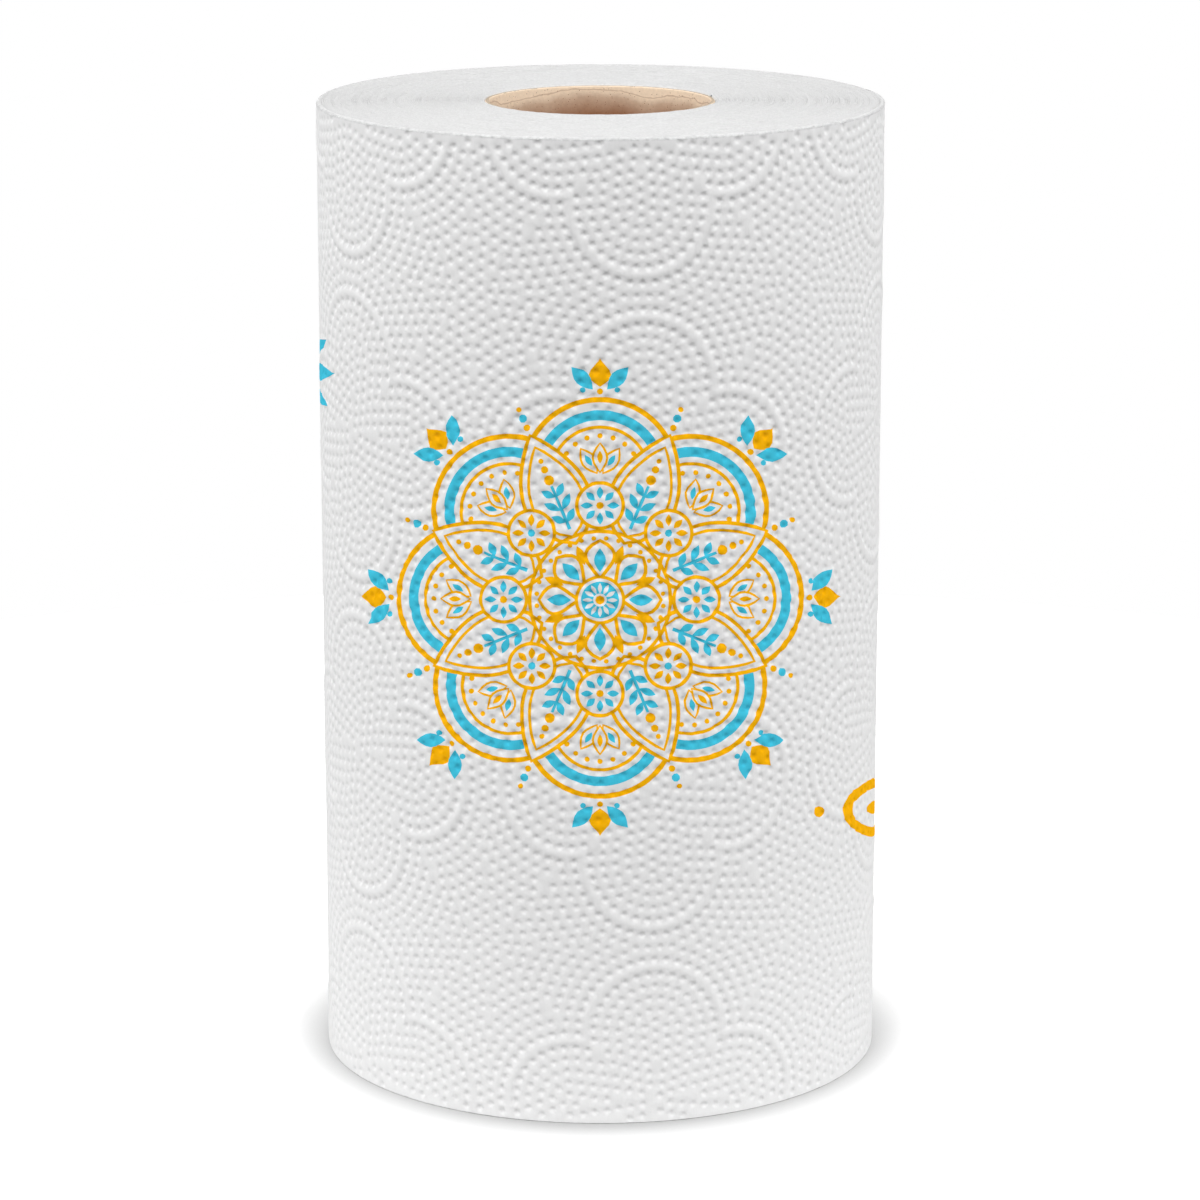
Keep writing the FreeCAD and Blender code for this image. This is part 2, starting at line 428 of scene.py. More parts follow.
class Pressing:
    """The paper's relief over one window: pressed dots and raised smooth lines."""

    def __init__(self, sizes, window, clear):
        left, right, top, foot = window
        inner = (left + clear[0], right - clear[0], top + clear[1], foot - clear[1])
        flower = []
        for lobe in LOBES:
            flower += petal_dots(lobe, sizes)
        gap = CROWDED * sizes.dot / MM
        lines = thinned(petal_lines(), LINE_STEP)
        flower = filled(thinned(flower + ground_dots(sizes), gap), lines, sizes)
        flower = eased(flower, lines, sizes)
        self.dots = thinned(spread(flower, sizes, inner), 0.9 * gap)
        self.lines = spread(lines, sizes, inner)
        self.radius = sizes.dent / MM
        self.depth = sizes.depth / MM
        self.half_line = sizes.line / MM
        self.rise = sizes.rise / MM
        self.dot_tree = tree_of(self.dots)
        self.line_tree = tree_of(self.lines)
        chance = np.random.default_rng(11)
        self.press = [dot[2] * (0.94 + 0.12 * chance.random()) for dot in self.dots]

    def dent(self, number, share):
        """Height and steepness at a share of the way from a dot's middle to its edge."""
        deep = self.depth * self.press[number]
        steep = deep * DENT_POINT * (DENT_POINT + 1) * share * (1 - share) ** (DENT_POINT - 1) / self.radius
        return -deep * (1 - share) ** DENT_POINT * (1 + DENT_POINT * share), steep

    def ridge(self, _, share):
        """The same for a smooth line."""
        return self.rise * (1 - share ** 2) ** 2, -4 * self.rise * share * (1 - share ** 2) / self.half_line

    def relief(self, along, down):
        """Height above the paper's face, and its slope round the roll and down it."""
        level = 0.0
        slope = [0.0, 0.0]
        forms = ((self.dot_tree, self.radius, self.dent), (self.line_tree, self.half_line, self.ridge))
        for tree, reach, form in forms:
            nearest, number, far = tree.find((along, down, 0.0))
            if number is not None and far < reach:
                height, steep = form(number, far / reach)
                level += height
                slope[0] += steep * (along - nearest[0]) / max(far, 1e-6)
                slope[1] += steep * (down - nearest[1]) / max(far, 1e-6)
        return level, slope[0], slope[1]

    def points(self):
        """Where the mesh needs a point: each dot's middle, two rings about it, and the lines."""
        out = []
        for along, down, _ in self.dots:
            out.append((along, down))
            for ring, share in enumerate(DENT_RINGS):
                for k in range(RING_POINTS):
                    angle = (k + 0.5 * ring) * TURN / RING_POINTS
                    reach = share * self.radius
                    out.append((along + reach * math.sin(angle), down + reach * math.cos(angle)))
        return out + [tuple(point) for point in self.lines]


# Rosette: every shape is (ink, loops), painted in order. Its numbers are the drawing's own: millimetres from
# the rosette's centre, x to the right and y up.

BARE = 0
FRAYED = 1
ORANGE = 2
BLUE = 3
OUTLINE_STEP = 0.8
DRAWN_REACH = 53.2


def arc(centre, radius, half_angle):
    """Points on a circle about a centre above the origin, from one side of its crown to the other."""
    count = max(4, math.ceil(2 * half_angle * radius / OUTLINE_STEP))
    angles = [half_angle * (2 * k / count - 1) for k in range(count + 1)]
    return [polar(a, radius, centre) for a in angles]


def polar(angle, reach, centre=0.0, aside=0.0):
    """The point at an angle from straight up, about a centre that far up and aside."""
    return aside + reach * math.sin(angle), centre + reach * math.cos(angle)


def disc(x, y, radius):
    count = max(8, round(TURN * radius / OUTLINE_STEP))
    return [polar(k * TURN / count, radius, y, x) for k in range(count)]


def stroke(path, width, closed=False):
    """The outline of a drawn line: one loop, or two where the path closes on itself."""
    count = len(path)
    left = []
    right = []
    for i, (x, y) in enumerate(path):
        before = path[i - 1] if i or closed else path[i]
        after = path[(i + 1) % count] if i < count - 1 or closed else path[i]
        dx = after[0] - before[0]
        dy = after[1] - before[1]
        scale = width / 2 / (math.hypot(dx, dy) or 1.0)
        left.append((x - dy * scale, y + dx * scale))
        right.append((x + dy * scale, y - dx * scale))
    return [left, right] if closed else [left + right[::-1]]


def between(base, tip, widths):
    """A leaf from base to tip, with its half widths at (share of the length, half width)."""
    dx = tip[0] - base[0]
    dy = tip[1] - base[1]
    size = math.hypot(dx, dy)
    one = [(base[0] + dx * f - dy / size * w, base[1] + dy * f + dx / size * w) for f, w in widths]
    two = [(base[0] + dx * f + dy / size * w, base[1] + dy * f - dx / size * w) for f, w in widths[1:-1]]
    return one + two[::-1]


def almond(base, tip, half, count=6):
    return between(base, tip, [(k / count, half * math.sin(math.pi * k / count)) for k in range(count + 1)])


def flame(base, tip, half, count=9):
    """A drop, round at its base and pointed at its tip."""
    shares = [(1 - math.cos(math.pi * k / count)) / 2 for k in range(count + 1)]
    return between(base, tip, [(f, 1.54 * half * math.sin(math.pi * f) * (1 - f) ** 0.55) for f in shares])


def petal(base, tip, half, widest, count=14):
    """A broad petal up the axis, pointed at its tip, widest at a share of its length."""
    power = math.log(0.5) / math.log(widest)
    shares = [k / count for k in range(count + 1)]
    widths = [(f, half * max(0.0, math.sin(math.pi * f ** power)) ** 0.85) for f in shares]
    return between((0, base), (0, tip), widths)


def lobe_motif():
    """Outer lobe: an orange edge, a broad blue band, beads and a three-leaved bud."""
    centre = 27.6
    bands = ((ORANGE, 16.5, 1.15), (BLUE, 13.1, 2.2), (ORANGE, 10.5, 0.75))
    shapes = [(ink, stroke(arc(centre, radius, math.radians(64)), width)) for ink, radius, width in bands]
    for k in range(-3, 4):
        shapes.append((ORANGE, [disc(*polar(math.radians(19.0 * k), 8.6, centre), 0.6)]))
    for k in (-1, 1, 0):
        reaches = (1.2, 3.1, 6.0, 7.6)
        base, inner, outer, tip = (polar(math.radians(33 * k), reach, centre - 0.6) for reach in reaches)
        leaf = almond(base, tip, 1.55)
        shapes += [(BARE, [leaf]), (ORANGE, stroke(leaf, 0.5, closed=True))]
        shapes.append((BLUE if k else ORANGE, [almond(inner, outer, 0.62)]))
    return shapes


def petal_motif():
    """Broad petal with a second line inside, a leafy sprig and beads of falling size."""
    outer = petal(13.6, 39.2, 7.2, 0.42)
    shapes = [
        (BARE, [outer]),
        (ORANGE, stroke(outer, 0.85, closed=True)),
        (ORANGE, stroke(petal(15.2, 36.4, 5.6, 0.42), 0.65, closed=True)),
        (BLUE, [[(-0.4, 17.0), (0.4, 17.0), (0.3, 27.2), (-0.3, 27.2)]]),
    ]
    for start, reach in ((18.6, 3.3), (21.5, 3.9), (24.6, 3.3)):
        for side in (-1, 1):
            tip = (0.78 * reach * side, start + 0.72 * reach)
            shapes.append((BLUE, [almond((0.25 * side, start), tip, 0.85)]))
    beads = ((ORANGE, 28.6, 1.15), (ORANGE, 31.1, 0.85), (ORANGE, 33.1, 0.6),
             (ORANGE, 41.0, 0.75), (BLUE, 43.2, 0.95), (ORANGE, 45.3, 0.6))
    return shapes + [(ink, [disc(0, height, radius)]) for ink, height, radius in beads]


def around(count, shift=0):
    """Angles evenly round a full turn; the shift is a share of their step."""
    return [(k + shift) * TURN / count for k in range(count)]


def daisy_motif(number):
    """Round badge with eight short leaves; its two inks change places from one to the next."""
    centre = 20.9
    leaf, eye = (BLUE, ORANGE) if number % 2 == 0 else (ORANGE, BLUE)
    badge = disc(0, centre, 5.0)
    shapes = [(BARE, [badge]), (ORANGE, stroke(badge, 0.8, closed=True))]
    for angle in around(8):
        shapes.append((leaf, [almond(polar(angle, 1.5, centre), polar(angle, 4.2, centre), 0.72)]))
    return shapes + [(eye, [disc(0, centre, 0.85)])]


def finial_motif():
    """Bead, flame and two leaves on the crown of a lobe."""
    shapes = [(ORANGE, [disc(0, 45.9, 0.7)]), (ORANGE, [flame((0, 46.9), (0, 53.2), 2.2)])]
    for side in (-1, 1):
        shapes.append((BLUE, [almond((1.5 * side, 46.3), (6.1 * side, 51.2), 1.6)]))
        shapes.append((BLUE, [disc(3.7 * side, 46.2, 0.65)]))
    return shapes


def ring_motif():
    shapes = [(ORANGE, stroke(disc(0, 0, 15.2), 0.8, closed=True))]
    return shapes + [(ORANGE, [disc(*polar(angle, 13.7), 0.55)]) for angle in around(32, 0.5)]


def star_petal_motif():
    outline = petal(4.4, 13.2, 3.15, 0.62, 9)
    leaf = almond((0, 6.2), (0, 11.5), 1.3)
    return [(BARE, [outline]), (ORANGE, stroke(outline, 0.8, closed=True)), (BLUE, [leaf])]


def eye_motif():
    rim = stroke(disc(0, 0, 5.1), 0.75, closed=True)
    shapes = [(BARE, [disc(0, 0, 5.4)]), (ORANGE, rim), (BLUE, [disc(0, 0, 4.1)])]
    for angle in around(12):
        shapes.append((BARE, [almond(polar(angle, 1.5), polar(angle, 3.8), 0.45)]))
    return shapes + [(BARE, [disc(0, 0, 1.5)]), (ORANGE, [disc(0, 0, 1.05)])]


def placed(shapes, turn, scale):
    """The shapes turned clockwise about the rosette's centre, and scaled."""
    c = math.cos(turn) * scale
    s = math.sin(turn) * scale
    return [
        (ink, [[(a * c + b * s, b * c - a * s) for a, b in loop] for loop in loops]) for ink, loops in shapes
    ]


def rosette(reach):
    """The whole printed rosette, in painting order."""
    scale = reach / DRAWN_REACH
    on_axis = around(8)
    off_axis = around(8, 0.5)
    shapes = []
    for turn in on_axis:
        shapes += placed(lobe_motif(), turn, scale)
    for turn in off_axis:
        shapes += placed(petal_motif(), turn, scale)
    for number, turn in enumerate(on_axis):
        shapes += placed(daisy_motif(number) + finial_motif(), turn, scale)
    shapes += placed(ring_motif(), 0, scale)
    for turn in off_axis:
        shapes += placed([(ORANGE, [almond((0, 8.4), (0, 13.0), 0.95)])], turn, scale)
    for turn in on_axis:
        shapes += placed(star_petal_motif(), turn, scale)
    return shapes + placed(eye_motif(), 0, scale)


def side_motifs(laying):
    """Edges of the next motifs round the roll: leaves on the left, a bead and a ringed bud on the right."""
    leaves = 48.9
    bud = -48.4

    def oval(middle, wide, high):
        """An oval about an angle round the roll, its half width measured on the paper."""
        loop = []
        for t in around(60):
            angle = math.radians(middle) + wide / laying.radius * math.sin(t)
            loop.append((float(np.interp(angle, laying.angles, laying.widths)), bud + high * math.cos(t)))
        return loop

    shapes = []
    for rise, back, half in ((0.0, 1.7, 2.1), (5.2, 0.0, 1.7), (-5.2, 0.0, 1.7)):
        leaf = almond((-71.0, leaves + 0.4 * rise), (-61.0 + back, leaves + 1.4 * rise), half)
        shapes.append((BLUE, [leaf]))
    rings = [oval(81, 24.3, 6.7), oval(81, 19.4, 4.4)]
    return shapes + [(ORANGE, rings), (ORANGE, [oval(82, 10.4, 1.5)]), (ORANGE, [disc(48.7, bud, 1.25)])]


def even_odd(x, y, loops):
    """Which of the points lie inside the loops; a loop inside another cuts a hole."""
    inside = np.zeros(len(x), dtype=bool)
    for loop in loops:
        ax, ay = loop[-1]
        for bx, by in loop:
            crosses = (ay > y) != (by > y)
            if by != ay:
                inside ^= crosses & (x < (bx - ax) * (y - ay) / (by - ay) + ax)
            ax, ay = bx, by
    return inside


def painted(x, y, shapes):
    """The ink at each point, as the last shape painted over it."""
    ink = np.zeros(len(x), dtype=np.int32)
    for number, loops in shapes:
        xs = [p[0] for loop in loops for p in loop]
        ys = [p[1] for loop in loops for p in loop]
        near = np.nonzero((x > min(xs)) & (x < max(xs)) & (y > min(ys)) & (y < max(ys)))[0]
        if len(near):
            ink[near[even_odd(x[near], y[near], loops)]] = number
    return ink


class Laying:
    """How the flat print lies on the roll: a share of it follows the paper, the rest the front view."""

    def __init__(self, sizes, prints, studio):
        self.radius = sizes.radius / MM
        self.share = prints.wrap
        self.high = sizes.height / MM
        self.centre = prints.centre / MM
        self.eye = (studio.distance / MM, studio.height / MM)
        # farther round than the eye sees, the print follows the paper
        most = math.radians(88)
        past = math.radians(22)
        angles = np.linspace(-most, most, 705)
        seen = np.sin(angles) / self.farther(angles)
        widths = self.radius * ((1 - self.share) * seen + self.share * angles)
        end = widths[-1] + self.radius * past
        self.angles = np.concatenate(([-most - past], angles, [most + past]))
        self.widths = np.concatenate(([-end], widths, [end]))

    def farther(self, angle):
        """How much farther from the eye the paper is at an angle than at the front."""
        return (self.eye[0] - self.radius * np.cos(angle)) / (self.eye[0] - self.radius)

    def sinking(self, angle):
        return 1 + (1 - self.share) * (self.farther(angle) - 1)

    def put(self, x, y):
        """Place on the unrolled paper for a point of the print."""
        angle = float(np.interp(x, self.widths, self.angles))
        height = self.eye[1] - (self.eye[1] - self.centre - y) * float(self.sinking(angle))
        return self.radius * angle, self.high - height

    def found(self, along, down):
        """Points of the print for places on the unrolled paper."""
        angle = along / self.radius
        height = self.high - down
        y = self.eye[1] - self.centre - (self.eye[1] - height) / self.sinking(angle)
        return np.interp(angle, self.angles, self.widths), y


# Sheets

# Bare margins beside a sheet's edges: of dents across and down, and of all mesh points at the rims
PLAIN_EDGE = (0.85, 0.45)
PLAIN_RIM = 0.12
# Steps round a rim, and how far its torn fibres stand out or in, as a share of its rounding
RIM_STEPS = 5
RIM_FUZZ = 0.4
# The perforation: every so many millimetres down is a bond, sunk less than the cuts between
BOND_EVERY = 5
BOND_LEVEL = -0.04
CUT_LEVEL = -0.28
# Length of the torn edge's teeth
TOOTH = 0.35
# How far the back sheet reaches under the loose end
UNDER = 2.0


def web_radius(sizes, angle):
    """Outside of the wound paper at an angle from the front, down to one turn before the tail."""
    turned = (sizes.tail - angle) / TURN
    return (sizes.radius + sizes.ply * (1 - turned) - sizes.inset) / MM


def on_roll(sizes, along, down, level):
    """Millimetre point for a place on the unrolled paper and a height above its face."""
    angle = along / (sizes.radius / MM)
    reach = web_radius(sizes, angle) + level
    return (reach * math.sin(angle), -reach * math.cos(angle), sizes.height / MM - down)


def facing(sizes, along, outward, around, up):
    """Unit normal on the roll from its parts away from the axis, round the roll and up."""
    angle = along / (sizes.radius / MM)
    s = math.sin(angle)
    c = math.cos(angle)
    return Vector((outward * s + around * c, -outward * c + around * s, up)).normalized()


def evenly(first, last, step):
    count = max(1, round(abs(last - first) / step))
    return [first + (last - first) * k / count for k in range(count + 1)]


def saw_teeth(places, edge):
    """A torn edge: fine teeth left by the perforation's bonds."""
    chance = np.random.default_rng(23)
    teeth = [TOOTH * ((k % 2) * 0.8 + 0.4 * chance.random() - 0.6) for k in range(len(places))]
    return [(edge + tooth, down) for tooth, down in zip(teeth, places)]


class SheetMaker:
    """Makes the mesh of one stretch of the outer turn."""

    def __init__(self, sizes, emboss, left, right):
        self.high = sizes.height / MM
        self.window = (left, right, sizes.rim / MM, self.high - sizes.foot / MM)
        self.pressing = Pressing(emboss, self.window, PLAIN_EDGE)

    def outline(self, left_edge, right_edge):
        """The closed edge of the flat sheet, with its own shape at either side."""
        _, _, top, foot = self.window
        upper = [(s, top) for s in evenly(left_edge[0][0], right_edge[0][0], 1.0)]
        lower = [(s, foot) for s in evenly(right_edge[-1][0], left_edge[-1][0], 1.0)]
        return upper + right_edge[1:-1] + lower + left_edge[::-1][1:-1]

    def mesh(self, outline, shapes, laying):
        """Flat points, triangles and inks."""
        _, _, top, foot = self.window
        points = [point for point in self.pressing.points() if top + PLAIN_RIM < point[1] < foot - PLAIN_RIM]
        edges = []

        def close(loop):
            start = len(points)
            points.extend(loop)
            edges.extend((start + k, start + (k + 1) % len(loop)) for k in range(len(loop)))

        close(outline)
        for _, loops in shapes:
            for loop in loops:
                close([laying.put(x, y) for x, y in loop])
        vectors = [Vector(point) for point in points]
        made, _, faces, _, _, _ = delaunay_2d_cdt(vectors, edges, [], 1, 1e-4)
        flat = np.array([(v.x, v.y) for v in made])
        faces = np.array(faces)
        middle = flat[faces].mean(axis=1)
        x, y = laying.found(middle[:, 0], middle[:, 1])
        return flat, faces, painted(x, y, shapes)


def sheet_piece(name, sizes, emboss, laying, materials, span, edges, shapes=(), free_end=False):
    """One stretch of the outer turn, with rounded rims; each edge is its points and their heights."""
    left, right = span
    (left_edge, _), (right_edge, _) = edges
    maker = SheetMaker(sizes, emboss, left, right)
    high = maker.high
    flat, triangles, inks = maker.mesh(maker.outline(left_edge, right_edge), shapes, laying)
    sunk_at = {(round(s, 3), round(v, 3)): level for edge, sunk in edges for (s, v), level in zip(edge, sunk)}
    points = []
    normals = []
    places = []
    faces = [tuple(int(i) for i in face[::-1]) for face in triangles]
    inks = list(inks)

    def put(along, down, level, normal, aside=0.0):
        points.append(on_roll(sizes, along, down, level))
        normals.append(facing(sizes, along, *normal))
        places.append(((along - left + 2 + aside) / (right - left + 4), 1 - down / high))
        return len(points) - 1

    for along, down in flat:
        level = sunk_at.get((round(along, 3), round(down, 3)))
        slopes = (0.0, 0.0)
        if level is None:
            level, *slopes = maker.pressing.relief(along, down)
        put(along, down, level, (1.0, -slopes[0], slopes[1]))
    # rims: the cut edge turns in over a quarter circle
    chance = np.random.default_rng(31)
    for top in (True, False):
        rim = (sizes.rim if top else sizes.foot) / MM
        level = rim if top else high - rim
        row = [i for i in range(len(flat)) if abs(flat[i][1] - level) < 1e-4]
        row.sort(key=lambda i: flat[i][0])
        before = row
        for k in range(1, RIM_STEPS + 1):
            s = math.sin(0.5 * math.pi * k / RIM_STEPS)
            c = math.cos(0.5 * math.pi * k / RIM_STEPS)
            depth = rim * (1 - s)
            now = []
            for i in row:
                fuzz = 0.0 if k == RIM_STEPS else RIM_FUZZ * rim * (chance.random() - 0.5)
                normal = (c, 0.0, s if top else -s)
                now.append(put(flat[i][0], depth if top else high - depth, fuzz - rim * (1 - c), normal))
            for a in range(len(row) - 1):
                quad = (before[a], before[a + 1], now[a + 1], now[a])
                faces.append(quad if top else quad[::-1])
                inks.append(FRAYED)
            before = now
    if free_end:
        # its own thickness, laid beside the sheet on the flat
        upper, lower = ([put(s, v, level, (0.0, 1.0, 0.0), 0.4 - 0.6 * level) for s, v in right_edge]
                        for level in (0.0, -sizes.ply / MM - 0.02))
        for a in range(len(right_edge) - 1):
            faces.append((upper[a], upper[a + 1], lower[a + 1], lower[a]))
            inks.append(BARE)
    piece = new_piece(name, points, faces, places, materials, np.array(inks, dtype=np.int32))
    piece.data.normals_split_custom_set_from_vertices(normals)
    return piece


# Materials


def per_metre(millimetres):
    """Texture scale for a feature of that size: waves to a metre."""
    return 1000 / millimetres


def crepe_bump(tree, strength, across, along):
    """Relief of creped tissue: ridges up the roll over a felt of fibres."""
    where = add_node(tree, "ShaderNodeTexCoord").outputs["Object"]
    drawn = add_node(tree, "ShaderNodeMapping", {"Scale": (1, 1, across / along)}, {"Vector": where})
    ridges = add_node(tree, "ShaderNodeTexNoise",
                      {"Scale": per_metre(across), "Detail": 3.0, "Roughness": 0.6},
                      {"Vector": drawn.outputs["Vector"]})
    felt = add_node(tree, "ShaderNodeTexNoise",
                    {"Scale": per_metre(0.45), "Detail": 2.0, "Roughness": 0.7}, {"Vector": where})
    first = add_node(tree, "ShaderNodeBump", {"Strength": strength, "Distance": 0.12 * MM},
                     {"Height": ridges.outputs["Fac"]})
    both = add_node(tree, "ShaderNodeBump", {"Strength": 0.7 * strength, "Distance": 0.08 * MM},
                    {"Height": felt.outputs["Fac"], "Normal": first.outputs["Normal"]})
    return both.outputs["Normal"]


def mottled(tree, dark, light, size, detail=3.0):
    """A colour that drifts between two over patches of a size in millimetres."""
    where = add_node(tree, "ShaderNodeTexCoord").outputs["Object"]
    patches = add_node(tree, "ShaderNodeTexNoise",
                       {"Scale": per_metre(size), "Detail": detail, "Roughness": 0.6}, {"Vector": where})
    ramp = add_node(tree, "ShaderNodeValToRGB", links={"Fac": patches.outputs["Fac"]})
    for element, position, tone in zip(ramp.color_ramp.elements, (0.3, 0.7), (dark, light)):
        element.position = position
        element.color = tone
    return ramp.outputs["Color"]


def shaded(tone, factor):
    return tuple(min(1.0, c * factor) for c in tone[:3]) + (1.0,)


def matt_material(name, specular=0.15):
    material = bpy.data.materials.new(name)
    material.use_nodes = True
    tree = material.node_tree
    tree.nodes.clear()
    values = {"IOR": 1.45, "Specular IOR Level": specular, "Roughness": 0.95}
    shader = add_node(tree, "ShaderNodeBsdfPrincipled", values)
    add_node(tree, "ShaderNodeOutputMaterial", links={"Surface": shader.outputs["BSDF"]})
    return material, tree, shader


def dressed(name, dark, light, size, relief, specular=0.15):
    """A matt material mottled between two colours over patches of a size, with the crepe's relief."""
    material, tree, shader = matt_material(name, specular)
    tree.links.new(mottled(tree, dark, light, size), shader.inputs["Base Color"])
    tree.links.new(crepe_bump(tree, *relief), shader.inputs["Normal"])
    return material


# Strength of the relief, and the size of its ridges across and along, in millimetres
CREPE = (0.4, 0.55, 6.0)


def tissue_material(looks):
    """Two-ply tissue, creped and pressed: a soft white with no gloss, fine ridges and loose fibres."""
    return dressed("creped_tissue", shaded(looks.tissue, 0.97), shaded(looks.tissue, 1.0), 1.2, CREPE)


def frayed_painted_shade_material(looks):
    """The outer turns' cut rim: torn fibres standing every way, so that it glints and shades in specks; its
    colour is a darker copy of the tissue, painted shade that tones down the light the rounded rim catches.
    """
    material, tree, shader = matt_material("frayed_tissue_rim_painted_shade")
    # painted shade: the rim's white held below the tissue's
    tone = mottled(tree, shaded(looks.tissue, 0.78), shaded(looks.tissue, 0.96), 0.8)
    tree.links.new(tone, shader.inputs["Base Color"])
    where = add_node(tree, "ShaderNodeTexCoord").outputs["Object"]
    tufts = add_node(tree, "ShaderNodeTexNoise",
                     {"Scale": per_metre(1.1), "Detail": 4.0, "Roughness": 0.75}, {"Vector": where})
    relief = add_node(tree, "ShaderNodeBump", {"Strength": 1.0, "Distance": 0.6 * MM},
                      {"Height": tufts.outputs["Fac"]})
    tree.links.new(relief.outputs["Normal"], shader.inputs["Normal"])
    return material


def ink_material(name, ink, looks):
    """Water-based ink printed on the raised face of tissue: flat colour, thin where the fibres took less."""
    pale = tuple(0.99 * i + 0.01 * p for i, p in zip(ink[:3], looks.tissue[:3])) + (1.0,)
    return dressed(name, pale, tuple(ink), 0.7, CREPE, specular=0.02)


def edge_material(looks):
    """Sawn ends of tissue: cut fibres that scatter light in fine specks, in a white greyer than the tissue's:
    painted shade that keeps the upper end, lit from above, about as bright as the sides.
    """
    dark = shaded(looks.edge, 0.87)
    return dressed("sawn_tissue_edge", dark, shaded(looks.edge, 1.03), 0.7, (1.0, 1.1, 1.1))


# The tube's frayed end, and beyond it a fade into the darker brown that is painted shade of the tube's
# inside: its depth and wander either way, in millimetres, and what it gains to the sides, painted light on
# the inner walls to left and right
TORN_DEPTH = 8.0
TORN_WANDER = 3.0
PAINTED_SIDE_LIGHT = 0.05
# Size of the board's fibre specks over the distance between them, and how far up a sawn face looks
SPECK = 0.13
SAWN = 0.7


def board_material(looks):
    """Recycled board, wound and glued: dull brown with specks of fibre and a pale band where the saw frayed
    it; its fade to darker brown deeper in the tube is painted shade, and its reach deeper to left and right
    is painted light.
    """
    material, tree, shader = matt_material("wound_recycled_board")
    middle = 0.5 * (TUBE_LOW[2] + TUBE_HIGH[2])
    half = 0.5 * (TUBE_HIGH[2] - TUBE_LOW[2])
    where = add_node(tree, "ShaderNodeTexCoord").outputs["Object"]
    place = add_node(tree, "ShaderNodeSeparateXYZ", links={"Vector": where}).outputs
    above = add_node(tree, "ShaderNodeMath", {1: middle}, {0: place["Z"]}, operation="SUBTRACT")
    far = add_node(tree, "ShaderNodeMath", links={0: above.outputs["Value"]}, operation="ABSOLUTE")
    wander = add_node(tree, "ShaderNodeTexNoise",
                      {"Scale": per_metre(16.0), "Detail": 4.0, "Roughness": 0.55}, {"Vector": where})
    moved = add_node(tree, "ShaderNodeMath", {1: 2 * TORN_WANDER * MM, 2: -TORN_WANDER * MM},
                     {0: wander.outputs["Fac"]}, operation="MULTIPLY_ADD")
    # painted light: the pale end reaches deeper towards the left and right, where the inner walls catch more
    # light
    sideways = add_node(tree, "ShaderNodeMath", links={0: place["X"]}, operation="ABSOLUTE")
    frayed = add_node(tree, "ShaderNodeMath", {1: PAINTED_SIDE_LIGHT},
                      {0: sideways.outputs["Value"], 2: moved.outputs["Value"]}, operation="MULTIPLY_ADD")
    edge = add_node(tree, "ShaderNodeMath", links={0: far.outputs["Value"], 1: frayed.outputs["Value"]},
                    operation="ADD")
    share = add_node(tree, "ShaderNodeMapRange", {"From Min": half, "From Max": half - TORN_DEPTH * MM},
                     {"Value": edge.outputs["Value"]})
    ramp = add_node(tree, "ShaderNodeValToRGB", links={"Fac": share.outputs["Result"]})
    brown = tuple(0.5 * a + 0.5 * b for a, b in zip(looks.torn, looks.board))
    pale = shaded(looks.torn, 0.97)
    # torn band, torn crease, then darker with depth: the darkening is painted shade of the tube's inside
    stops = (
        (0.0, looks.torn), (0.10, looks.torn), (0.12, brown), (0.15, pale), (0.36, brown), (0.9, looks.board)
    )
    while len(ramp.color_ramp.elements) < len(stops):
        ramp.color_ramp.elements.new(0.5)
    for element, (position, tone) in zip(ramp.color_ramp.elements, stops):
        element.position = position
        element.color = tone
    patches = mottled(tree, (0.88, 0.88, 0.88, 1.0), WHITE, 0.8, 5.0)
    base = add_node(tree, "ShaderNodeMix", {"Factor": 1.0}, {"A": ramp.outputs["Color"], "B": patches},
                    data_type="RGBA", blend_type="MULTIPLY")
    fibres = add_node(tree, "ShaderNodeTexVoronoi",
                      {"Scale": per_metre(0.7), "Randomness": 1.0}, {"Vector": where})
    speck = add_node(tree, "ShaderNodeMath", {1: SPECK}, {0: fibres.outputs["Distance"]},
                     operation="LESS_THAN")
    specked = add_node(tree, "ShaderNodeMix", {"B": shaded(looks.board, 0.75)},
                       {"Factor": speck.outputs["Value"], "A": base.outputs["Result"]}, data_type="RGBA")
    normal = add_node(tree, "ShaderNodeNewGeometry").outputs["True Normal"]
    facing_up = add_node(tree, "ShaderNodeSeparateXYZ", links={"Vector": normal}).outputs["Z"]
    upright = add_node(tree, "ShaderNodeMath", links={0: facing_up}, operation="ABSOLUTE")
    sawn = add_node(tree, "ShaderNodeMath", {1: SAWN}, {0: upright.outputs["Value"]},
                    operation="GREATER_THAN")
    ends = add_node(tree, "ShaderNodeMix", {"B": shaded(looks.torn, 0.5)},
                    {"Factor": sawn.outputs["Value"], "A": specked.outputs["Result"]}, data_type="RGBA")
    tree.links.new(ends.outputs["Result"], shader.inputs["Base Color"])
    tree.links.new(crepe_bump(tree, 0.5, 0.8, 0.8), shader.inputs["Normal"])
    return material


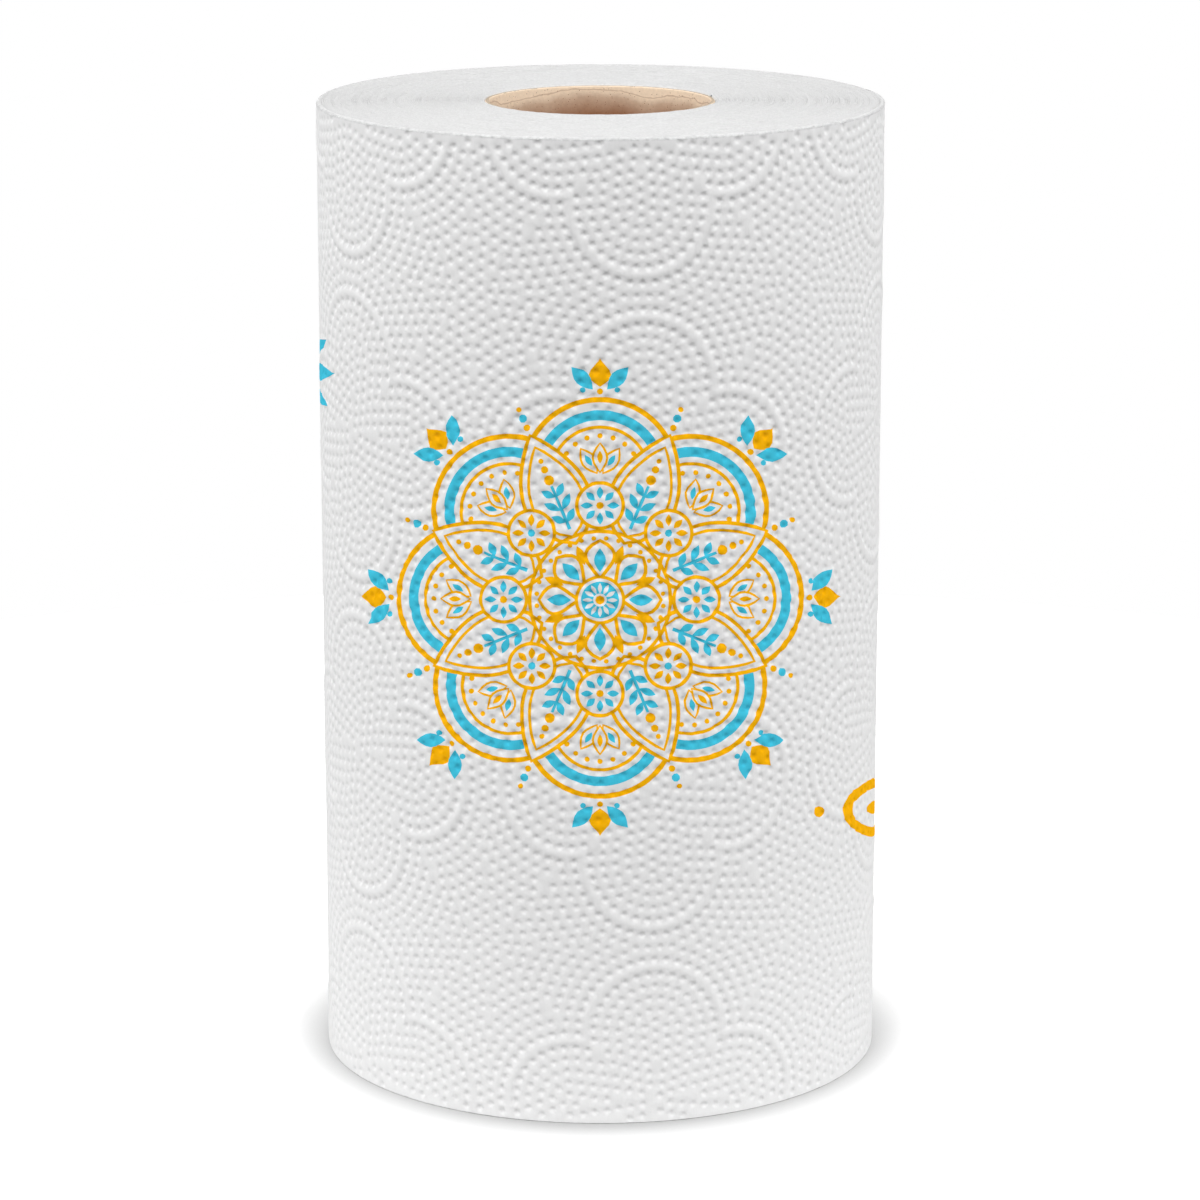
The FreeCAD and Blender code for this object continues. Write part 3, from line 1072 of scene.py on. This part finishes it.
class ROLL_OT_sheets(bpy.types.Operator):
    """Makes the first sheet, with its print and loose end, and the rest of the outer turn behind it"""

    bl_idname = "roll.sheets"
    bl_label = "Outer sheets"

    def execute(self, context):
        scene = context.scene
        sizes = scene.roll_sizes
        emboss = scene.roll_emboss
        prints = scene.roll_print
        looks = scene.roll_looks
        inks = [
            tissue_material(looks),
            frayed_painted_shade_material(looks),
            ink_material("orange_ink_on_tissue", prints.orange, looks),
            ink_material("blue_ink_on_tissue", prints.blue, looks),
        ]
        laying = Laying(sizes, prints, scene.roll_studio)
        radius = sizes.radius / MM
        high = sizes.height / MM
        tail = sizes.tail * radius
        perforation = tail - sizes.sheet / MM
        back = tail - TURN * radius - UNDER
        downs = evenly(sizes.rim / MM, high - sizes.foot / MM, 1.0)
        flat = [0.0] * len(downs)
        torn = (saw_teeth(downs, tail), flat)
        hidden = ([(back, down) for down in downs], flat)
        sunk = [CUT_LEVEL if k % BOND_EVERY else BOND_LEVEL for k in range(len(downs))]
        cuts = ([(perforation, down) for down in downs], sunk)
        shapes = rosette(prints.reach / MM) + side_motifs(laying)
        common = (sizes, emboss, laying)
        front = sheet_piece(
            "front_sheet", *common, inks, (perforation, tail), (cuts, torn), shapes, free_end=True
        )
        rear = sheet_piece("back_sheet", *common, inks[:2], (back, perforation), (hidden, cuts))
        for piece in (front, rear):
            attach(piece, BODY)
            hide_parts(PAPER_NODE)
        return {"FINISHED"}


# Ends

# One turn on a sawn end: (share of the turn's thickness, height in millimetres), from the groove outside it
TURN_PROFILE = ((0.0, -0.14), (0.3, 0.0), (0.68, 0.0))
TURN_STEPS = 320
# How far the end's face lies back, the spread of its waves and what each of the first two turns adds
END_BACK = 0.03
END_WAVES = 0.09
RIM_DROP = 0.02
# How deep the paper dips beside the tube, and how far it reaches over the tube's outside
JOINT_DEPTH = 0.75
JOINT_LAP = 0.02


def end_piece(name, sizes, looks, tube, upper, material):
    """One sawn end: every turn a low crest, wound as one spiral from the tube out to the rim."""
    parts = len(TURN_PROFILE)
    steps = TURN_STEPS
    ply = sizes.ply / MM
    rows = looks.turns * parts + 1
    chance = np.random.default_rng(41 if upper else 43)
    wave = chance.normal(size=(parts, (looks.turns + 3) * steps))
    kernel = np.hanning(9)
    kernel /= kernel.sum()
    wave = np.array([np.convolve(line, kernel, mode="same") for line in wave])
    # grooves between turns: real ones are too fine for the eye to part, and every few turns one gapes
    gape = 0.5 + 2.4 * chance.random(looks.turns + 3) ** 2
    start = sizes.tail - TURN
    high = sizes.height / MM
    rim = (sizes.rim if upper else sizes.foot) / MM
    span = 2 * sizes.radius / MM + 4
    points = []
    places = []

    def put(column, reach, level):
        """Adds the point in a column that lies as far out as the reach says for its angle."""
        angle = start + TURN * column / steps
        x = reach(angle) * math.sin(angle)
        y = -reach(angle) * math.cos(angle)
        points.append((x, y, high + level if upper else -level))
        places.append((0.5 + x / span, 0.5 + y / span))
        return len(points) - 1

    def on_turn(row, column):
        """Adds the point of a row of the spiral, which starts on the rim."""
        turn, part = divmod(row, parts)
        share, deep = TURN_PROFILE[part]
        level = 0.0
        if row:
            along = (looks.turns + 1 - turn) * steps + column
            groove = deep * (gape[turn] + (gape[turn + 1] - gape[turn]) * column / steps)
            level = groove - END_BACK + END_WAVES * wave[part][along] - RIM_DROP * min(turn, 2)
        return put(column, lambda angle: web_radius(sizes, angle) - rim - ply * (turn + share), level)

    index = np.zeros((rows + 1, steps + 1), dtype=np.int64)
    for row in range(rows):
        for column in range(steps):
            index[row][column] = on_turn(row, column)
    for row in range(rows):
        # a turn's last column is the first of the turn outside it
        index[row][steps] = index[row - parts][0] if row >= parts else on_turn(row, steps)
    inner = tube.radius / MM - JOINT_LAP
    for column in range(steps):
        index[rows][column] = put(column, lambda angle: inner, -JOINT_DEPTH)
    index[rows][steps] = index[rows][0]
    faces = []
    for row in range(rows):
        for column in range(steps):
            quad = (*index[row][column:column + 2], *index[row + 1][column:column + 2][::-1])
            quad = tuple(int(i) for i in quad)
            faces.append(quad if upper else quad[::-1])
    return new_piece(name, points, faces, places, [material])


class ROLL_OT_ends(bpy.types.Operator):
    """Makes the two sawn ends, with every turn of the paper"""

    bl_idname = "roll.ends"
    bl_label = "Wound ends"

    def execute(self, context):
        scene = context.scene
        material = edge_material(scene.roll_looks)
        for name, upper in (("upper_end", True), ("lower_end", False)):
            piece = end_piece(name, scene.roll_sizes, scene.roll_looks, scene.roll_tube, upper, material)
            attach(piece, BODY)
            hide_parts(PAPER_NODE)
        return {"FINISHED"}


# Tube

# Across the seam, from its middle: (share of its half width, whether that column lies on its floor)
SEAM_COLUMNS = ((-1.6, 0), (-1.08, 0), (-0.92, 1), (0.0, 1), (0.92, 1), (1.08, 0), (1.6, 0))
# Columns round the rest of the tube, and where they start, in half widths of the seam
PLAIN_COLUMNS = 224
PLAIN_START = 2.2
# Rows near each end, in millimetres from it; below the upper ones a gap, and then rows at about this step
END_ROWS = (0.0, 0.12, 0.3, 0.6, 1.0, 1.5, 2.1, 2.8, 3.6)
ROW_GAP = 1.8
ROW_STEP = 1.9
# Rounding of the board's edges at the first rows, and how ragged the saw left them inside and on top
EDGE_ROUNDING = (0.12, 0.03, 0.0)
RAGGED_WALL = 0.03
RAGGED_END = 0.05


def tube_piece(name, tube, material):
    """The board tube: columns of its mesh climb with the winding, so the ply's edges are whole lines."""
    outer = tube.radius / MM
    inner = outer - tube.wall / MM
    low = TUBE_LOW[2] / MM
    high = TUBE_HIGH[2] / MM
    lead = tube.lead / MM
    slope = math.atan2(lead, TURN * inner)
    half = tube.seam / MM / 2 / math.sin(slope) / inner
    first = PLAIN_START * half
    columns = [(f * half, sunk * tube.seam_depth / MM) for f, sunk in SEAM_COLUMNS]
    columns += [(first + (TURN - 2 * first) * k / PLAIN_COLUMNS, 0.0) for k in range(PLAIN_COLUMNS + 1)]
    columns.sort()
    count = len(columns)
    last = END_ROWS[-1]
    heights = [high - f for f in END_ROWS]
    heights += evenly(high - last - ROW_GAP, low + last, ROW_STEP) + [low + f for f in END_ROWS[::-1][1:]]
    chance = np.random.default_rng(61)
    ragged = np.convolve(chance.normal(size=count + 8), np.ones(5) / 5, mode="same")[:count]
    points = []
    places = []
    walls = []
    for side in (0, 1):
        walls.append([])
        for row, z in enumerate(heights):
            end = min(row, len(heights) - 1 - row)
            rounding = EDGE_ROUNDING[min(end, 2)]
            line = []
            for number, (angle, sink) in enumerate(columns):
                turned = angle + TURN * z / lead
                reach = outer - rounding
                if side == 0:
                    reach = inner + sink + rounding + RAGGED_WALL * ragged[number] * (end < 2)
                rise = RAGGED_END * ragged[number] * (end == 0) * (1 if row == 0 else -1)
                line.append(len(points))
                points.append((reach * math.sin(turned), -reach * math.cos(turned), z + rise))
                up = (z - low) / (high - low)
                places.append((0.02 + 0.96 * number / count, 0.5 * side + 0.01 + 0.47 * up))
            walls[side].append(line)
    inside, outside = walls
    strips = [(a, b, False) for a, b in zip(inside, inside[1:])]
    strips += [(a, b, True) for a, b in zip(outside, outside[1:])]
    strips += [(inside[0], outside[0], True), (inside[-1], outside[-1], False)]
    faces = []
    for one, two, flipped in strips:
        for k in range(count):
            n = (k + 1) % count
            quad = (one[k], one[n], two[n], two[k])
            faces.append(quad[::-1] if flipped else quad)
    return new_piece(name, points, faces, places, [material])


class ROLL_OT_tube(bpy.types.Operator):
    """Makes the board tube in the middle of the roll"""

    bl_idname = "roll.tube"
    bl_label = "Board tube"

    def execute(self, context):
        scene = context.scene
        piece = tube_piece("board_tube", scene.roll_tube, board_material(scene.roll_looks))
        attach(piece, BODY)
        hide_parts(TUBE_NODE)
        return {"FINISHED"}


# Studio

# Radius of the floor in metres, its rings and its spokes
FLOOR = (0.45, 8, 64)
LAMP_TARGET = Vector((0.0, 0.0, 0.11))
# Name, place and side in metres, and power in watts
LAMPS = (
    ("left_softbox", (-1.45, 0.1, 0.65), 1.6, 17.2),
    ("right_softbox", (1.45, 0.1, 0.65), 1.6, 16.0),
    ("left_key", (-0.7, -0.95, 1.35), 0.9, 16.4),
    ("right_key", (0.7, -0.95, 1.35), 0.9, 16.4),
    ("back_softbox", (0.0, 1.3, 1.2), 0.9, 2.0),
)


def soft_lamp(name, place, side, power):
    lamp = bpy.data.lights.new(name, "AREA")
    lamp.shape = "SQUARE"
    lamp.size = side
    lamp.energy = power
    made = bpy.data.objects.new(name, lamp)
    made.location = place
    made.rotation_euler = (LAMP_TARGET - Vector(place)).to_track_quat("-Z", "Y").to_euler()
    made.visible_camera = False
    bpy.context.scene.collection.objects.link(made)


def seen_directly(tree):
    """1 for rays from the camera and for what gloss or glass shows, 0 for the light on the object."""
    path = add_node(tree, "ShaderNodeLightPath").outputs
    first = add_node(tree, "ShaderNodeMath", links={0: path["Is Camera Ray"], 1: path["Is Glossy Ray"]},
                     operation="MAXIMUM")
    both = add_node(tree, "ShaderNodeMath",
                    links={0: first.outputs["Value"], 1: path["Is Transmission Ray"]}, operation="MAXIMUM")
    return both.outputs["Value"]


def floor_material():
    """Matt white paper sweep: white where light reaches it, with the roll's soft shadow beside it, partly
    real and partly painted shade.
    """
    material = bpy.data.materials.new("white_paper_sweep")
    material.use_nodes = True
    tree = material.node_tree
    tree.nodes.clear()
    where = add_node(tree, "ShaderNodeTexCoord").outputs["Object"]
    # the light it gives back falls off away from the roll, from 10 to 20 cm
    away = add_node(tree, "ShaderNodeVectorMath", links={0: where}, operation="LENGTH")
    tone = add_node(tree, "ShaderNodeMapRange",
                    {"From Min": 0.10, "From Max": 0.20, "To Min": 0.56, "To Max": 0.26},
                    {"Value": away.outputs["Value"]})
    matt = add_node(tree, "ShaderNodeBsdfDiffuse", links={"Color": tone.outputs["Result"]})
    # what the eye sees: the roll's shadow beside it, deepened by painted shade, and plain white from 14 cm on
    wide = add_node(tree, "ShaderNodeMapping", {"Scale": (1.3, 1, 1)}, {"Vector": where})
    beside = add_node(tree, "ShaderNodeVectorMath", links={0: wide.outputs["Vector"]}, operation="LENGTH")
    # a glow for the eye, none at the roll's foot and full from 14 cm on: short of that the shade beside the
    # roll is partly painted, and the stretch across keeps it narrower at the sides than in front
    level = add_node(tree, "ShaderNodeMapRange",
                     {"From Min": 0.066, "From Max": 0.14, "To Min": 0.0, "To Max": 1.0},
                     {"Value": beside.outputs["Value"]})
    # painted shade: the floor's colour darkened by occlusion within 18 mm of the roll, a painted contact
    # shadow
    hidden = add_node(tree, "ShaderNodeAmbientOcclusion", {"Color": linear("#E8E8E8"), "Distance": 0.018})
    painted_contact_shade = add_node(tree, "ShaderNodeBsdfDiffuse", links={"Color": hidden.outputs["Color"]})
    lift = add_node(tree, "ShaderNodeEmission", {"Color": WHITE}, {"Strength": level.outputs["Result"]})
    both = {0: painted_contact_shade.outputs["BSDF"], 1: lift.outputs["Emission"]}
    lifted = add_node(tree, "ShaderNodeAddShader", links=both)
    mixed = add_node(tree, "ShaderNodeMixShader",
                     links={"Fac": seen_directly(tree), 1: matt.outputs["BSDF"], 2: lifted.outputs["Shader"]})
    add_node(tree, "ShaderNodeOutputMaterial", links={"Surface": mixed.outputs["Shader"]})
    return material


def surroundings():
    """White all round to the eye; the light it throws comes from above and is dim."""
    world = bpy.data.worlds.new("white_surroundings")
    world.use_nodes = True
    tree = world.node_tree
    tree.nodes.clear()
    where = add_node(tree, "ShaderNodeTexCoord").outputs["Generated"]
    up = add_node(tree, "ShaderNodeSeparateXYZ", links={"Vector": where}).outputs["Z"]
    level = add_node(tree, "ShaderNodeMapRange",
                     {"From Min": -0.1, "From Max": 0.3, "To Min": 0.0, "To Max": 0.15}, {"Value": up})
    light = add_node(tree, "ShaderNodeBackground", {"Color": WHITE}, {"Strength": level.outputs["Result"]})
    seen = add_node(tree, "ShaderNodeBackground", {"Color": WHITE, "Strength": 1.0})
    mixed = add_node(tree, "ShaderNodeMixShader", links={
        "Fac": seen_directly(tree), 1: light.outputs["Background"], 2: seen.outputs["Background"]})
    add_node(tree, "ShaderNodeOutputWorld", links={"Surface": mixed.outputs["Shader"]})
    return world


def round_floor(radius, rings, spokes):
    """Points, edges and faces of a round floor."""
    points = [(0.0, 0.0, 0.0)]
    for ring in range(1, rings + 1):
        reach = radius * ring / rings
        points += [(reach * math.cos(a), reach * math.sin(a), 0.0) for a in around(spokes)]
    faces = [(0, 1 + k, 1 + (k + 1) % spokes) for k in range(spokes)]
    for inner in range(1, 1 + (rings - 1) * spokes, spokes):
        outer = inner + spokes
        for k in range(spokes):
            n = (k + 1) % spokes
            faces.append((inner + k, outer + k, outer + n, inner + n))
    return points, [], faces


class ROLL_OT_studio(bpy.types.Operator):
    """Makes the floor, the lamps, the white surroundings and the camera"""

    bl_idname = "roll.studio"
    bl_label = "Studio"

    def execute(self, context):
        scene = context.scene
        studio = scene.roll_studio
        mesh = bpy.data.meshes.new("studio_floor")
        mesh.from_pydata(*round_floor(*FLOOR))
        mesh.materials.append(floor_material())
        floor = bpy.data.objects.new("studio_floor", mesh)
        scene.collection.objects.link(floor)
        for lamp in LAMPS:
            soft_lamp(*lamp)
        scene.world = surroundings()
        data = bpy.data.cameras.new("photo_camera")
        data.lens = studio.focal
        data.sensor_width = 36.0
        data.clip_start = 0.05
        data.clip_end = 30.0
        camera = bpy.data.objects.new("photo_camera", data)
        camera.location = (0.0, -studio.distance, studio.height)
        camera.rotation_euler = (0.5 * math.pi - studio.pitch, 0.0, 0.0)
        scene.collection.objects.link(camera)
        scene.camera = camera
        scene.view_settings.view_transform = "Standard"
        return {"FINISHED"}


class ROLL_PT_panel(bpy.types.Panel):
    """The steps that dress the roll"""

    bl_idname = "ROLL_PT_panel"
    bl_label = "Paper roll"
    bl_space_type = "VIEW_3D"
    bl_region_type = "UI"
    bl_category = "Paper roll"

    def draw(self, context):
        for step in STEPS:
            self.layout.operator(step.bl_idname)
        for name in GROUPS:
            group = getattr(context.scene, name)
            box = self.layout.box()
            for field in group.bl_rna.properties:
                if field.identifier not in ("rna_type", "name"):
                    box.prop(group, field.identifier)


GROUPS = {
    "roll_sizes": RollSizes,
    "roll_tube": TubeSizes,
    "roll_emboss": EmbossSizes,
    "roll_print": PrintLooks,
    "roll_looks": PaperLooks,
    "roll_studio": StudioSizes,
}
STEPS = (ROLL_OT_sheets, ROLL_OT_ends, ROLL_OT_tube, ROLL_OT_studio)


def register():
    for group in GROUPS.values():
        bpy.utils.register_class(group)
    for name, group in GROUPS.items():
        setattr(bpy.types.Scene, name, PointerProperty(type=group))
    for step in STEPS:
        bpy.utils.register_class(step)
    bpy.utils.register_class(ROLL_PT_panel)


def unregister():
    bpy.utils.unregister_class(ROLL_PT_panel)
    for step in reversed(STEPS):
        bpy.utils.unregister_class(step)
    for name, group in reversed(GROUPS.items()):
        delattr(bpy.types.Scene, name)
        bpy.utils.unregister_class(group)


def main():
    """Registers the steps and runs them in order."""
    register()
    bpy.ops.roll.sheets()
    bpy.ops.roll.ends()
    bpy.ops.roll.tube()
    bpy.ops.roll.studio()


if __name__ == "__main__":
    main()
